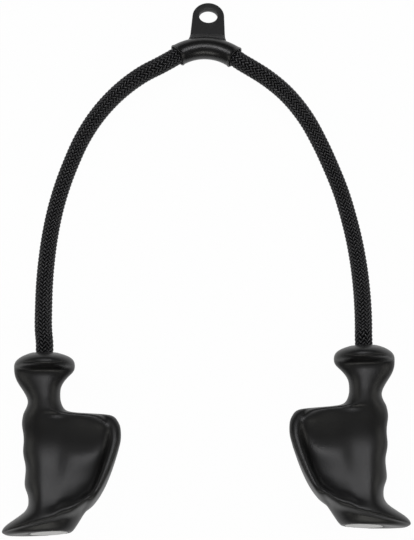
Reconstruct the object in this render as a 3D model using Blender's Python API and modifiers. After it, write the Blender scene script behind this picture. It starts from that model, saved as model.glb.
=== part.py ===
"""Triceps rope: a steel saddle bracket, one thick braided rope and two moulded grips with palm wings.

It lies on its back on a flat surface. +X runs across it, +Y towards the lug, and +Z up from the
surface. The origin is the middle of the surface under it. Lengths are in metres.
"""

import math

import bmesh
import bpy
from mathutils import Matrix, Vector

MM = 0.001

# Gaps that keep touching pieces apart, the length by which a cutter passes what it cuts, and the
# distance at which points count as one
SEAT_GAP = 0.3 * MM
OVERRUN = 6 * MM
MERGE_DISTANCE = 0.01 * MM

# Rope
ROPE_DIAMETER = 16 * MM
ROPE_RADIUS = ROPE_DIAMETER / 2
ROPE_BEVEL_RESOLUTION = 4
ROPE_STEP_DIAMETERS = 2.2
ROPE_END_RUN = 1 * MM
ROPE_ROUTE_STEPS = 12
UPPER_SHARE = 0.38

# The route of the rope's middle line on each side, from the saddle to the grip, in millimetres
LEFT_ROUTE_MM = (
    (-42.2, 189, 31.6), (-57.4, 181.2, 31.4), (-79.6, 165.7, 26), (-101.1, 143.8, 18.6),
    (-116.2, 121.2, 13.4), (-126.6, 99, 10.6), (-135, 76.8, 9.6), (-141.4, 54.6, 9.6),
    (-145.9, 32.4, 10.4), (-148.9, 10.2, 12.4), (-150.7, -12, 15.6), (-151.3, -34.2, 19.8),
    (-151.1, -56.4, 24.4),
)
RIGHT_ROUTE_MM = (
    (40.2, 187, 31.4), (54.2, 178.3, 31), (73.6, 163.1, 25), (92.7, 140.6, 17.8),
    (106, 117.6, 12.8), (116.8, 94.6, 10.3), (125.8, 72.2, 9.6), (132.6, 49.8, 9.6),
    (138, 27.6, 10.6), (141.9, 5.4, 12.8), (144.4, -16.8, 16.2), (145.6, -38, 20.6),
    (145.8, -54, 24),
)

# Saddle: a tube bent to an arc, which the rope runs through
TUBE_OUTER_RADIUS = 10.2 * MM
TUBE_ARC_RADIUS = 44 * MM
TUBE_HALF_ANGLE = math.radians(36.8)
TUBE_SEGMENTS = 18
TUBE_BEVEL_RESOLUTION = 10
LIP_GROWTH = 0.6 * MM
LIP_LENGTH = 3 * MM

# Lug: a flat plate with an eye for the machine's hook
LUG_THICKNESS = 5.6 * MM
LUG_EDGE_ROUND = 0.7 * MM
LUG_FOOT_HALF_WIDTH = 16.6 * MM
LUG_TOP_RADIUS = 14.8 * MM
LUG_EYE_HEIGHT = 23.4 * MM
LUG_SIDE_SHIFT = 0.7 * MM
EYE_HALF_WIDTH = 8.6 * MM
EYE_HALF_HEIGHT = 7.6 * MM
EYE_RAISE = 0.6 * MM
LUG_ARC_SEGMENTS = 22
EYE_SEGMENTS = 32

# Weld bead round the lug's foot
WELD_TOE = 2 * MM
WELD_TOP = 0.7 * MM
WELD_HEIGHT = 3.6 * MM
WELD_DEPTH = 7 * MM
WELD_CORNER_CLEARANCE = 1 * MM
WELD_LAYERS = 5
WELD_END_SEGMENTS = 8

# Where the bracket lies: its lug leans back until its tip rests on the surface
BRACKET_LEAN = math.radians(26)
BRACKET_TURN = math.radians(-2)
BRACKET_Y = 205.2 * MM
BRACKET_CLEARANCE = 0.2 * MM

# Grip: its length along the rope, and its reach to each side of the rope
GRIP_LENGTH = 166.5 * MM
FLANGE_RADIUS = 28.5 * MM
FLANGE_PLACE_SHARE = 0.067
COLUMN_RADIUS = 15 * MM
COLUMN_FRONT = 15.3 * MM
TIP_REACH = 38 * MM
WING_REACH = 71.4 * MM
WING_RIM_SHARE = 0.15
FLOOR_LEAD_SHARE = 0.022
RIDGE_HEIGHT = 28.5 * MM
HULL_DEPTH = 39.4 * MM
BASE_SIDE_SLANT = 3
BASE_FORWARD_SLANT = 7.5

# Where the grips lie: the mouth of each, and the slope that lifts its base
GRIP_SLOPE = math.radians(5)
LEFT_MOUTH_X = -149.9 * MM
LEFT_MOUTH_Y = -77 * MM
RIGHT_MOUTH_X = 145.8 * MM
RIGHT_MOUTH_Y = -70.2 * MM
RIGHT_TURN = math.radians(1.4)
GRIP_CLEARANCE = 0.1 * MM

# Rope end inside the grip: a steel sleeve crimped on the rope, below a washer on a shoulder
SLEEVE_RADIUS = 10.6 * MM
SLEEVE_LENGTH = 14 * MM
SLEEVE_CRIMP_DEPTH = 0.6 * MM
SLEEVE_CHAMFER = 0.8 * MM
CRIMP_GROOVE_SHARES = ((0.25, 0.3, 0.37, 0.42), (0.6, 0.65, 0.72, 0.77))
WASHER_RADIUS = 11.8 * MM
WASHER_THICKNESS = 2.5 * MM
POCKET_CLEARANCE = 0.4 * MM
POCKET_DEPTH = 29 * MM
TURNED_STEPS = 24
BORE_SIDES = 24

# Base of the grip: a plug in a round recess, covered by a bare disc
BADGE_RADIUS = 17.5 * MM
BADGE_THICKNESS = 0.8 * MM
BADGE_INNER_OFFSET = 5 * MM
BADGE_BACK_OFFSET = 1 * MM
PLUG_HEAD_THICKNESS = 2.2 * MM
PLUG_SPIGOT_LENGTH = 6 * MM
DISC_SIDES = 40

# Colours: red, green, blue, roughness and metallic value
BLACK_STEEL = (0.022, 0.022, 0.024, 0.42, 0.5)
BLACK_ROPE = (0.018, 0.018, 0.019, 0.85, 0.0)
BLACK_RUBBER = (0.024, 0.024, 0.025, 0.55, 0.0)
BARE_STEEL = (0.55, 0.55, 0.56, 0.35, 1.0)
DARK_PLASTIC = (0.03, 0.03, 0.03, 0.6, 0.0)
PALE_DISC = (0.6, 0.61, 0.62, 0.45, 0.0)

# The grip's outline is read along its length. Each row is a share of GRIP_LENGTH and a reach.
OUTER_REACH = (
    (0.0, 0.4 * FLANGE_RADIUS), (0.012, 0.62 * FLANGE_RADIUS), (0.03, 0.82 * FLANGE_RADIUS),
    (0.05, 0.95 * FLANGE_RADIUS), (0.075, FLANGE_RADIUS), (0.105, 0.995 * FLANGE_RADIUS),
    (0.14, 0.955 * FLANGE_RADIUS), (0.174, 0.85 * FLANGE_RADIUS), (0.207, 0.715 * FLANGE_RADIUS),
    (0.241, 0.59 * FLANGE_RADIUS), (0.275, 0.99 * COLUMN_RADIUS), (0.308, 1.12 * COLUMN_RADIUS),
    (0.342, 1.3 * COLUMN_RADIUS), (0.392, 1.385 * COLUMN_RADIUS), (0.476, 1.25 * COLUMN_RADIUS),
    (0.544, 1.31 * COLUMN_RADIUS), (0.628, 1.115 * COLUMN_RADIUS), (0.718, 1.2 * COLUMN_RADIUS),
    (0.78, 0.93 * COLUMN_RADIUS), (0.815, 0.365 * TIP_REACH), (0.85, 0.44 * TIP_REACH),
    (0.875, 0.67 * TIP_REACH), (0.893, 0.88 * TIP_REACH), (0.908, 0.985 * TIP_REACH),
    (0.925, 1.02 * TIP_REACH), (0.945, 1.02 * TIP_REACH), (0.97, 0.98 * TIP_REACH),
    (0.99, 0.94 * TIP_REACH), (1.0, 0.88 * TIP_REACH),
)
INNER_REACH = (
    (0.0, 0.4 * FLANGE_RADIUS), (0.012, 0.66 * FLANGE_RADIUS), (0.03, 0.88 * FLANGE_RADIUS),
    (0.05, 0.975 * FLANGE_RADIUS), (0.07, FLANGE_RADIUS), (0.09, 0.99 * FLANGE_RADIUS),
    (0.107, 0.94 * FLANGE_RADIUS), (0.14, 0.745 * FLANGE_RADIUS), (0.174, 0.59 * FLANGE_RADIUS),
    (0.207, 0.525 * FLANGE_RADIUS), (0.241, 0.52 * FLANGE_RADIUS), (0.275, 1.03 * COLUMN_RADIUS),
    (0.308, 1.21 * COLUMN_RADIUS), (0.325, 1.45 * COLUMN_RADIUS), (0.333, 0.42 * WING_REACH),
    (0.338, 0.64 * WING_REACH), (0.342, 0.86 * WING_REACH), (0.359, 0.922 * WING_REACH),
    (0.376, 0.952 * WING_REACH), (0.409, 0.988 * WING_REACH), (0.45, WING_REACH),
    (0.488, WING_REACH), (0.572, 0.965 * WING_REACH), (0.656, 0.914 * WING_REACH),
    (0.74, 0.851 * WING_REACH), (0.824, 0.767 * WING_REACH), (0.869, 0.709 * WING_REACH),
    (0.919, 0.626 * WING_REACH), (0.942, 0.555 * WING_REACH), (0.975, 0.438 * WING_REACH),
    (0.99, 0.4 * WING_REACH), (1.0, 0.367 * WING_REACH),
)
FRONT_REACH = (
    (0.0, 0.4 * FLANGE_RADIUS), (0.006, 0.62 * FLANGE_RADIUS), (0.014, 0.79 * FLANGE_RADIUS),
    (0.023, 0.89 * FLANGE_RADIUS), (0.034, 0.955 * FLANGE_RADIUS), (0.046, 0.99 * FLANGE_RADIUS),
    (FLANGE_PLACE_SHARE, FLANGE_RADIUS), (0.069, 0.98 * FLANGE_RADIUS),
    (0.076, 0.87 * FLANGE_RADIUS), (0.083, 0.64 * FLANGE_RADIUS), (0.092, 0.908 * COLUMN_FRONT),
    (0.105, 0.824 * COLUMN_FRONT), (0.13, 0.81 * COLUMN_FRONT), (0.16, 0.863 * COLUMN_FRONT),
    (0.2, 0.915 * COLUMN_FRONT), (0.26, 0.987 * COLUMN_FRONT), (0.305, 1 * COLUMN_FRONT),
    (0.35, 0.948 * COLUMN_FRONT), (0.4, 0.85 * COLUMN_FRONT), (0.45, 0.771 * COLUMN_FRONT),
    (0.5, 0.739 * COLUMN_FRONT), (0.53, 0.758 * COLUMN_FRONT), (0.573, 0.824 * COLUMN_FRONT),
    (0.63, 0.961 * COLUMN_FRONT), (0.69, 1.105 * COLUMN_FRONT), (0.74, 1.229 * COLUMN_FRONT),
    (0.78, 1.34 * COLUMN_FRONT), (0.826, 0.804 * RIDGE_HEIGHT), (0.86, 0.884 * RIDGE_HEIGHT),
    (0.885, 0.947 * RIDGE_HEIGHT), (0.905, 0.989 * RIDGE_HEIGHT), (0.918, RIDGE_HEIGHT),
    (0.928, 0.979 * RIDGE_HEIGHT), (0.936, 0.919 * RIDGE_HEIGHT), (0.942, 0.839 * RIDGE_HEIGHT),
    (0.949, 0.786 * RIDGE_HEIGHT), (0.965, 0.765 * RIDGE_HEIGHT), (0.99, 0.709 * RIDGE_HEIGHT),
    (1.0, 0.649 * RIDGE_HEIGHT),
)
BACK_REACH = (
    (0.0, 0.4 * FLANGE_RADIUS), (0.012, 0.62 * FLANGE_RADIUS), (0.03, 0.82 * FLANGE_RADIUS),
    (0.05, 0.95 * FLANGE_RADIUS), (FLANGE_PLACE_SHARE, FLANGE_RADIUS), (0.09, 0.985 * FLANGE_RADIUS),
    (0.107, 0.94 * FLANGE_RADIUS), (0.14, 0.76 * FLANGE_RADIUS), (0.174, 0.6 * FLANGE_RADIUS),
    (0.207, 0.54 * FLANGE_RADIUS), (0.275, 0.375 * HULL_DEPTH), (0.376, 0.425 * HULL_DEPTH),
    (0.488, 0.5 * HULL_DEPTH), (0.572, 0.6 * HULL_DEPTH), (0.656, 0.7 * HULL_DEPTH),
    (0.74, 0.825 * HULL_DEPTH), (0.824, 0.938 * HULL_DEPTH), (0.9, HULL_DEPTH),
    (0.942, 0.95 * HULL_DEPTH), (0.975, 0.76 * HULL_DEPTH), (0.99, 0.62 * HULL_DEPTH),
    (1.0, 0.525 * HULL_DEPTH),
)

# Height of the scoop's floor and of the wing's rim above the rope's middle line
SCOOP_FLOOR = (
    (0.0, 0.0), (0.3, 0.621 * COLUMN_FRONT), (0.35, 0.654 * COLUMN_FRONT),
    (0.376, 0.601 * COLUMN_FRONT), (0.432, 0.471 * COLUMN_FRONT), (0.488, 0.373 * COLUMN_FRONT),
    (0.53, 0.327 * COLUMN_FRONT), (0.573, 0.327 * COLUMN_FRONT), (0.61, 0.386 * COLUMN_FRONT),
    (0.65, 0.503 * COLUMN_FRONT), (0.69, 0.647 * COLUMN_FRONT), (0.74, 0.824 * COLUMN_FRONT),
    (0.78, 0.967 * COLUMN_FRONT), (0.826, 0.639 * RIDGE_HEIGHT), (0.845, 0.709 * RIDGE_HEIGHT),
    (0.86, 0.782 * RIDGE_HEIGHT), (0.872, 0.86 * RIDGE_HEIGHT), (0.884, 0.923 * RIDGE_HEIGHT),
    (0.896, 0.958 * RIDGE_HEIGHT), (0.908, 0.958 * RIDGE_HEIGHT), (0.92, 0.919 * RIDGE_HEIGHT),
    (0.932, 0.821 * RIDGE_HEIGHT), (0.94, 0.723 * RIDGE_HEIGHT), (0.95, 0.656 * RIDGE_HEIGHT),
    (0.97, 0.589 * RIDGE_HEIGHT), (1.0, 0.46 * RIDGE_HEIGHT),
)
RIM_HEIGHT = (
    (0.0, 0.0), (0.338, 0.0), (0.342, 0.077 * RIDGE_HEIGHT), (0.359, 0.161 * RIDGE_HEIGHT),
    (0.376, 0.221 * RIDGE_HEIGHT), (0.4, 0.291 * RIDGE_HEIGHT), (0.432, 0.365 * RIDGE_HEIGHT),
    (0.488, 0.46 * RIDGE_HEIGHT), (0.572, 0.575 * RIDGE_HEIGHT), (0.656, 0.688 * RIDGE_HEIGHT),
    (0.74, 0.793 * RIDGE_HEIGHT), (0.8, 0.884 * RIDGE_HEIGHT), (0.83, 0.93 * RIDGE_HEIGHT),
    (0.855, 0.947 * RIDGE_HEIGHT), (0.872, 0.933 * RIDGE_HEIGHT), (0.887, 0.877 * RIDGE_HEIGHT),
    (0.9, 0.772 * RIDGE_HEIGHT), (0.912, 0.639 * RIDGE_HEIGHT), (0.922, 0.502 * RIDGE_HEIGHT),
    (0.932, 0.368 * RIDGE_HEIGHT), (0.945, 0.239 * RIDGE_HEIGHT), (0.96, 0.14 * RIDGE_HEIGHT),
    (0.98, 0.039 * RIDGE_HEIGHT), (1.0, 0.0),
)

# How far a section has the wing's form, how high the column's shoulder stands before the wing, and
# how the sections lean, in degrees
WING_FORM_SHARES = (
    (0.0, 0.0), (0.326, 0.0), (0.333, 0.35), (0.338, 0.8), (0.342, 1.0), (0.925, 1.0),
    (0.945, 0.6), (0.965, 0.15), (0.98, 0.0), (1.0, 0.0),
)
SHOULDER_SHARES = (
    (0.0, 0.72), (0.33, 0.76), (0.37, 0.9), (0.86, 0.9), (0.88, 0.95), (0.91, 0.995), (1.0, 0.98),
)
SIDE_SLANT_DEGREES = (
    (0.0, 0), (0.376, 0), (0.488, 2), (0.572, 4.5), (0.656, 7.5), (0.74, 10.5), (0.824, 13.5),
    (0.869, 15), (0.919, 16), (0.942, 13), (0.975, 7), (1.0, BASE_SIDE_SLANT),
)
FORWARD_SLANT_DEGREES = (
    (0.0, 0), (0.92, 0), (0.95, 4), (1.0, BASE_FORWARD_SLANT),
)

# Each run of sections: from and to, as shares of GRIP_LENGTH, and its number of steps
SECTION_RUN_SHARES = (
    (0.0, 0.075, 6), (0.075, 0.13, 6), (0.13, 0.3, 7), (0.3, 0.346, 7), (0.346, 0.42, 4),
    (0.42, 0.82, 13), (0.82, 0.87, 5), (0.87, 0.955, 14), (0.955, 1.0, 4),
)
INNER_SPAN_STEPS = (2, 4, 3, 3, 2, 1, 1, 2, 4, 3, 2)
OUTER_QUARTER_STEPS = 5


def clear_scene():
    for obj in list(bpy.data.objects):
        bpy.data.objects.remove(obj, do_unlink=True)


def new_collection(name, hidden=False):
    collection = bpy.data.collections.new(name)
    bpy.context.scene.collection.children.link(collection)
    collection.hide_render = hidden
    return collection


def new_material(name, look):
    material = bpy.data.materials.new(name)
    material.use_nodes = True
    shader = material.node_tree.nodes["Principled BSDF"]
    shader.inputs["Base Color"].default_value = (*look[:3], 1.0)
    shader.inputs["Roughness"].default_value = look[3]
    shader.inputs["Metallic"].default_value = look[4]
    material.diffuse_color = (*look[:3], 1.0)
    return material


def add_object(name, data, look, parent=None):
    """A named piece of the object with a material of its own."""
    obj = bpy.data.objects.new(name, data)
    PARTS.objects.link(obj)
    obj.data.materials.clear()
    obj.data.materials.append(new_material(name + "_look", look))
    obj.parent = parent
    return obj


def add_cutter(name, data, parent=None):
    obj = bpy.data.objects.new(name, data)
    CUTTERS.objects.link(obj)
    obj.display_type = "WIRE"
    obj.hide_render = True
    obj.parent = parent
    return obj


def add_empty(name, location, rotation=(0, 0, 0), parent=None):
    empty = bpy.data.objects.new(name, None)
    PARTS.objects.link(empty)
    empty.location = location
    empty.rotation_euler = rotation
    empty.parent = parent
    return empty


def carry(obj, empty):
    """Hang a piece that is modelled in world places on an empty that only has a location."""
    obj.parent = empty
    obj.matrix_parent_inverse = Matrix.Translation(-empty.location)


def boolean(obj, cutter, operation="DIFFERENCE"):
    modifier = obj.modifiers.new(operation.lower(), "BOOLEAN")
    modifier.operation = operation
    modifier.solver = "EXACT"
    modifier.object = cutter


def smooth(mesh, sharp_degrees=38):
    mesh.shade_smooth()
    mesh.set_sharp_from_angle(angle=math.radians(sharp_degrees))


def mesh_from(name, build):
    """A mesh that build fills, with its faces pointing out."""
    mesh = bpy.data.meshes.new(name)
    bm = bmesh.new()
    build(bm)
    bmesh.ops.recalc_face_normals(bm, faces=bm.faces)
    bm.to_mesh(mesh)
    bm.free()
    smooth(mesh)
    return mesh


def loft(bm, rings):
    """A closed skin through rings of equal length, with a flat face on the first and the last."""
    rows = [[bm.verts.new(point) for point in ring] for ring in rings]
    count = len(rows[0])
    for one, other in zip(rows, rows[1:]):
        for k in range(count):
            after = (k + 1) % count
            bm.faces.new((one[k], one[after], other[after], other[k]))
    bm.faces.new(list(reversed(rows[0])))
    bm.faces.new(rows[-1])


def cylinder_mesh(name, radius, depth, sides):
    """A cylinder that starts at zero and runs along +Z."""

    def build(bm):
        shift = Matrix.Translation((0, 0, depth / 2))
        bmesh.ops.create_cone(
            bm, cap_ends=True, segments=sides, radius1=radius, radius2=radius, depth=depth, matrix=shift
        )

    return mesh_from(name, build)


def turned_mesh(name, profile):
    """The edge loop that a Screw modifier turns: pairs of radius and height."""
    mesh = bpy.data.meshes.new(name)
    points = [(radius, 0, height) for radius, height in profile]
    edges = [(k, (k + 1) % len(points)) for k in range(len(points))]
    mesh.from_pydata(points, edges, [])
    return mesh


def screw(obj):
    modifier = obj.modifiers.new("turn", "SCREW")
    modifier.steps = TURNED_STEPS
    modifier.render_steps = TURNED_STEPS
    modifier.use_merge_vertices = True
    modifier.merge_threshold = MERGE_DISTANCE
    modifier.use_smooth_shade = False


def tube_curve(name, points, radius, bevel_resolution, radius_shares=None):
    curve = bpy.data.curves.new(name, "CURVE")
    curve.dimensions = "3D"
    curve.resolution_u = 1
    curve.bevel_depth = radius
    curve.bevel_resolution = bevel_resolution
    curve.use_fill_caps = True
    spline = curve.splines.new("POLY")
    spline.points.add(len(points) - 1)
    for k, point in enumerate(points):
        spline.points[k].co = (*point, 1.0)
        spline.points[k].radius = radius_shares[k] if radius_shares else 1.0
    return curve


def meshed(curve_object):
    """Turn a curve object into a mesh object of the same name, place, parent and material."""
    bpy.context.view_layer.update()
    depsgraph = bpy.context.evaluated_depsgraph_get()
    mesh = bpy.data.meshes.new_from_object(curve_object.evaluated_get(depsgraph))
    bm = bmesh.new()
    bm.from_mesh(mesh)
    bmesh.ops.remove_doubles(bm, verts=bm.verts, dist=MERGE_DISTANCE)
    bmesh.ops.recalc_face_normals(bm, faces=bm.faces)
    bm.to_mesh(mesh)
    bm.free()
    smooth(mesh)
    name = curve_object.name
    collection = curve_object.users_collection[0]
    parent, hidden = curve_object.parent, curve_object.hide_render
    look = curve_object.data.materials[0] if curve_object.data.materials else None
    curve = curve_object.data
    bpy.data.objects.remove(curve_object, do_unlink=True)
    bpy.data.curves.remove(curve)
    obj = bpy.data.objects.new(name, mesh)
    collection.objects.link(obj)
    obj.parent = parent
    obj.hide_render = hidden
    obj.display_type = "WIRE" if hidden else "TEXTURED"
    if look:
        mesh.materials.clear()
        mesh.materials.append(look)
    return obj


def tangents(points):
    """Directions of a smooth curve through points, weighed by the distance to each neighbour."""
    spans = [(after - before).length for before, after in zip(points, points[1:])]
    slopes = [(after - before) / span for before, after, span in zip(points, points[1:], spans)]
    inner = [
        (slopes[k] * spans[k + 1] + slopes[k + 1] * spans[k]) / (spans[k] + spans[k + 1])
        for k in range(len(slopes) - 1)
    ]
    return spans, [slopes[0]] + inner + [slopes[-1]]


def curve_point(start, end, out, into, span, t):
    """A point of the Hermite curve between two points, at the share t of it."""
    rise = t * t * (3 - 2 * t)
    leave = t * (1 - t) * (1 - t)
    arrive = t * t * (1 - t)
    return start * (1 - rise) + end * rise + out * span * leave - into * span * arrive


def profile_at(table, share):
    """The value of a table of rows at a share: smooth between rows, and never past them."""
    k = max(i for i in range(len(table) - 1) if table[i][0] <= share or i == 0)
    slopes = [
        (table[i + 1][1] - table[i][1]) / (table[i + 1][0] - table[i][0])
        for i in (k - 1, k, k + 1)
        if 0 <= i < len(table) - 1
    ]
    middle = slopes[1 if k > 0 else 0]
    before = slopes[0]
    after = slopes[-1]
    out = 0 if before * middle <= 0 else 2 * before * middle / (before + middle)
    into = 0 if after * middle <= 0 else 2 * after * middle / (after + middle)
    span = table[k + 1][0] - table[k][0]
    t = (share - table[k][0]) / span
    return curve_point(table[k][1], table[k + 1][1], out, into, span, t)


def mouth_place(side):
    """The middle of one mouth of the saddle, in the bracket's own frame, and its way out."""
    angle = side * TUBE_HALF_ANGLE
    place = Vector((math.sin(angle), math.cos(angle) - 1, 0)) * TUBE_ARC_RADIUS
    way = Vector((side * math.cos(angle), -side * math.sin(angle), 0))
    return place, way


def saddle_arc(overrun=0.0):
    """Points along the saddle's middle line, with a straight overrun past each mouth."""
    inner = TUBE_HALF_ANGLE - ROPE_END_RUN / TUBE_ARC_RADIUS
    angles = [inner * (2 * k / TUBE_SEGMENTS - 1) for k in range(TUBE_SEGMENTS + 1)]
    angles = [-TUBE_HALF_ANGLE] + angles + [TUBE_HALF_ANGLE]
    points = [Vector((math.sin(a), math.cos(a) - 1, 0)) * TUBE_ARC_RADIUS for a in angles]
    if overrun:
        for side, at in ((-1, 0), (1, len(points) + 1)):
            place, way = mouth_place(side)
            points.insert(at, place + way * overrun)
    return points


def lip_share(point, plain, grown, overrun=False):
    """How much wider a tube is at a point that lies near a mouth of the saddle."""
    place, _ = mouth_place(1 if point.x > 0 else -1)
    past_mouth = overrun and abs(point.x) > abs(place.x)
    near = 1.0 if past_mouth else max(0.0, 1 - (point - place).length / LIP_LENGTH)
    return 1 + near * (grown / plain - 1)


def bore_radius(sides):
    """Radius of a faceted bore that keeps the seat gap to the rope at the middle of its facets."""
    return (ROPE_RADIUS + SEAT_GAP) / math.cos(math.pi / sides)


def make_saddle(bracket):
    points = saddle_arc()
    shares = [lip_share(p, TUBE_OUTER_RADIUS, TUBE_OUTER_RADIUS + LIP_GROWTH) for p in points]
    curve = tube_curve("saddle_tube", points, TUBE_OUTER_RADIUS, TUBE_BEVEL_RESOLUTION, shares)
    tube = meshed(add_object("saddle_tube", curve, BLACK_STEEL, bracket))
    sides = 4 + 2 * TUBE_BEVEL_RESOLUTION
    radius = bore_radius(sides)
    points = saddle_arc(OVERRUN)
    shares = [lip_share(p, radius, radius + LIP_GROWTH, overrun=True) for p in points]
    curve = tube_curve("saddle_bore", points, radius, TUBE_BEVEL_RESOLUTION, shares)
    bore = meshed(add_cutter("saddle_bore", curve, bracket))
    boolean(tube, bore)


def make_rope_in_saddle(bracket):
    curve = tube_curve("rope_in_saddle", saddle_arc(), ROPE_RADIUS, ROPE_BEVEL_RESOLUTION)
    meshed(add_object("rope_in_saddle", curve, BLACK_ROPE, bracket))


def lug_outline(grow):
    """The plate's outline: two tapering sides from the foot to a round top."""
    middle = TUBE_OUTER_RADIUS + LUG_EYE_HEIGHT
    foot = TUBE_OUTER_RADIUS / 2
    lean = math.atan((LUG_FOOT_HALF_WIDTH - LUG_TOP_RADIUS) / (middle - foot))
    half = LUG_FOOT_HALF_WIDTH + grow
    points = [(LUG_SIDE_SHIFT - half, foot), (LUG_SIDE_SHIFT + half, foot)]
    for k in range(LUG_ARC_SEGMENTS + 1):
        angle = lean + (math.pi - 2 * lean) * k / LUG_ARC_SEGMENTS
        radius = LUG_TOP_RADIUS + grow
        points.append(
            (LUG_SIDE_SHIFT + radius * math.cos(angle), middle + radius * math.sin(angle))
        )
    return points


def eye_outline():
    middle = TUBE_OUTER_RADIUS + LUG_EYE_HEIGHT + EYE_RAISE
    turns = [2 * math.pi * k / EYE_SEGMENTS for k in range(EYE_SEGMENTS)]
    return [
        (LUG_SIDE_SHIFT + EYE_HALF_WIDTH * math.cos(a), middle + EYE_HALF_HEIGHT * math.sin(a))
        for a in turns
    ]


def plate_curve(name, outlines, thickness, edge_round):
    """A flat plate with rounded edges, from outlines in its own plane."""
    curve = bpy.data.curves.new(name, "CURVE")
    curve.dimensions = "2D"
    curve.fill_mode = "BOTH"
    curve.extrude = thickness / 2 - edge_round
    curve.bevel_depth = edge_round
    curve.bevel_resolution = 1
    curve.offset = -edge_round
    for outline in outlines:
        spline = curve.splines.new("POLY")
        spline.points.add(len(outline) - 1)
        for k, (x, y) in enumerate(outline):
            spline.points[k].co = (x, y, 0, 1)
        spline.use_cyclic_u = True
    return curve


def make_lug(bracket, tube_cutter):
    curve = plate_curve("lug_plate", (lug_outline(0), eye_outline()), LUG_THICKNESS, LUG_EDGE_ROUND)
    lug = meshed(add_object("lug_plate", curve, BLACK_STEEL, bracket))
    boolean(lug, tube_cutter)


def weld_ring(height, offset):
    """One level of the weld bead: straight sides and round ends at an offset from the plate."""
    radius = LUG_THICKNESS / 2 + offset
    straight = LUG_FOOT_HALF_WIDTH + WELD_CORNER_CLEARANCE - LUG_THICKNESS / 2
    ring = []
    for side in (1, -1):
        for k in range(WELD_END_SEGMENTS + 1):
            angle = side * math.pi / 2 - math.pi * k / WELD_END_SEGMENTS
            across = LUG_SIDE_SHIFT + side * straight + radius * math.cos(angle)
            ring.append((across, height, radius * math.sin(angle)))
    return ring


def make_weld(bracket, tube_cutter, lug_cutter):
    levels = [weld_ring(TUBE_OUTER_RADIUS - WELD_DEPTH, WELD_TOE)]
    for k in range(WELD_LAYERS + 1):
        share = k / WELD_LAYERS
        height = TUBE_OUTER_RADIUS - WELD_TOE / 2 + (WELD_HEIGHT + WELD_TOE / 2) * share
        levels.append(weld_ring(height, WELD_TOP + (WELD_TOE - WELD_TOP) * (1 - share) ** 2))
    mesh = mesh_from("lug_weld", lambda bm: loft(bm, levels))
    weld = add_object("lug_weld", mesh, BLACK_STEEL, bracket)
    boolean(weld, tube_cutter)
    boolean(weld, lug_cutter)


def make_bracket():
    """The steel bracket, modelled upright in its own frame and leaned back with its empty."""
    tip = TUBE_OUTER_RADIUS + LUG_EYE_HEIGHT + LUG_TOP_RADIUS
    lift = tip * math.sin(BRACKET_LEAN) + LUG_THICKNESS / 2 * math.cos(BRACKET_LEAN)
    place = (0, BRACKET_Y, lift - LUG_EDGE_ROUND / 2 + BRACKET_CLEARANCE)
    bracket = add_empty("bracket_frame", place, (-BRACKET_LEAN, 0, BRACKET_TURN))
    curve = tube_curve(
        "tube_room", saddle_arc(OVERRUN), TUBE_OUTER_RADIUS + SEAT_GAP, TUBE_BEVEL_RESOLUTION
    )
    tube_cutter = meshed(add_cutter("tube_room", curve, bracket))
    curve = plate_curve("lug_room", (lug_outline(SEAT_GAP),), LUG_THICKNESS + 2 * SEAT_GAP, 0)
    lug_cutter = meshed(add_cutter("lug_room", curve, bracket))
    make_saddle(bracket)
    make_rope_in_saddle(bracket)
    make_lug(bracket, tube_cutter)
    make_weld(bracket, tube_cutter, lug_cutter)
    return bracket


def oval_point(reach, front, back, angle):
    """A point of an oval whose front and back halves have unlike depths."""
    depth = front if angle > 0 else back
    return Vector((reach * math.cos(angle), depth * math.sin(angle)))


def plain_side(inner, front, back):
    """Guide points down the inner side of a section without a wing, from front to back."""
    spans = len(INNER_SPAN_STEPS)
    angles = [math.pi / 2 - math.pi * k / spans for k in range(spans + 1)]
    return [oval_point(inner, front, back, angle) for angle in angles]


def winged_side(inner, front, back, shoulder, floor, foot, rim):
    """Guide points of a section with a scoop and a raised rim at its edge, from front to back."""
    half = WING_RIM_SHARE / 2 * inner
    foot_share = 0.14 if rim > foot else 0.5
    return [
        Vector((0, front)),
        Vector((0.75 * COLUMN_RADIUS, shoulder * front)),
        Vector((0.38 * inner, floor + 0.25 * (front - floor))),
        Vector((0.62 * inner, floor)),
        Vector((inner - 2.5 * half, foot + foot_share * (rim - foot))),
        Vector((inner - 1.75 * half, rim - 0.25 * half)),
        Vector((inner - 1.1 * half, rim)),
        Vector((inner - 0.4 * half, rim - 0.3 * half)),
        Vector((inner, rim - half)),
        Vector((0.75 * inner, -0.8 * back)),
        Vector((0.38 * inner, -back)),
        Vector((0, -back)),
    ]


def section(share):
    """One closed outline of the grip: pairs of inner reach and height, front first."""
    outer = profile_at(OUTER_REACH, share)
    inner = profile_at(INNER_REACH, share)
    front = profile_at(FRONT_REACH, share)
    back = profile_at(BACK_REACH, share)
    wing_form = profile_at(WING_FORM_SHARES, share)
    shoulder = profile_at(SHOULDER_SHARES, share)
    floor = profile_at(SCOOP_FLOOR, share)
    foot = profile_at(SCOOP_FLOOR, min(1, share + FLOOR_LEAD_SHARE))
    rim = profile_at(RIM_HEIGHT, share)
    plain = plain_side(inner, front, back)
    winged = winged_side(inner, front, back, shoulder, floor, foot, rim)
    guides = [a.lerp(b, wing_form) for a, b in zip(plain, winged)]
    mirrored = [Vector((-guides[k].x, guides[k].y)) for k in (1, len(guides) - 2)]
    spans, ways = tangents([mirrored[0]] + guides + [mirrored[1]])
    points = []
    for k, steps in enumerate(INNER_SPAN_STEPS):
        for step in range(steps):
            points.append(
                curve_point(guides[k], guides[k + 1], ways[k + 1], ways[k + 2], spans[k + 1], step / steps)
            )
    for k in range(2 * OUTER_QUARTER_STEPS):
        angle = -math.pi / 2 + math.pi * k / (2 * OUTER_QUARTER_STEPS)
        point = oval_point(outer, front, back, angle)
        points.append(Vector((-point.x, point.y)))
    return points


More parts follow.
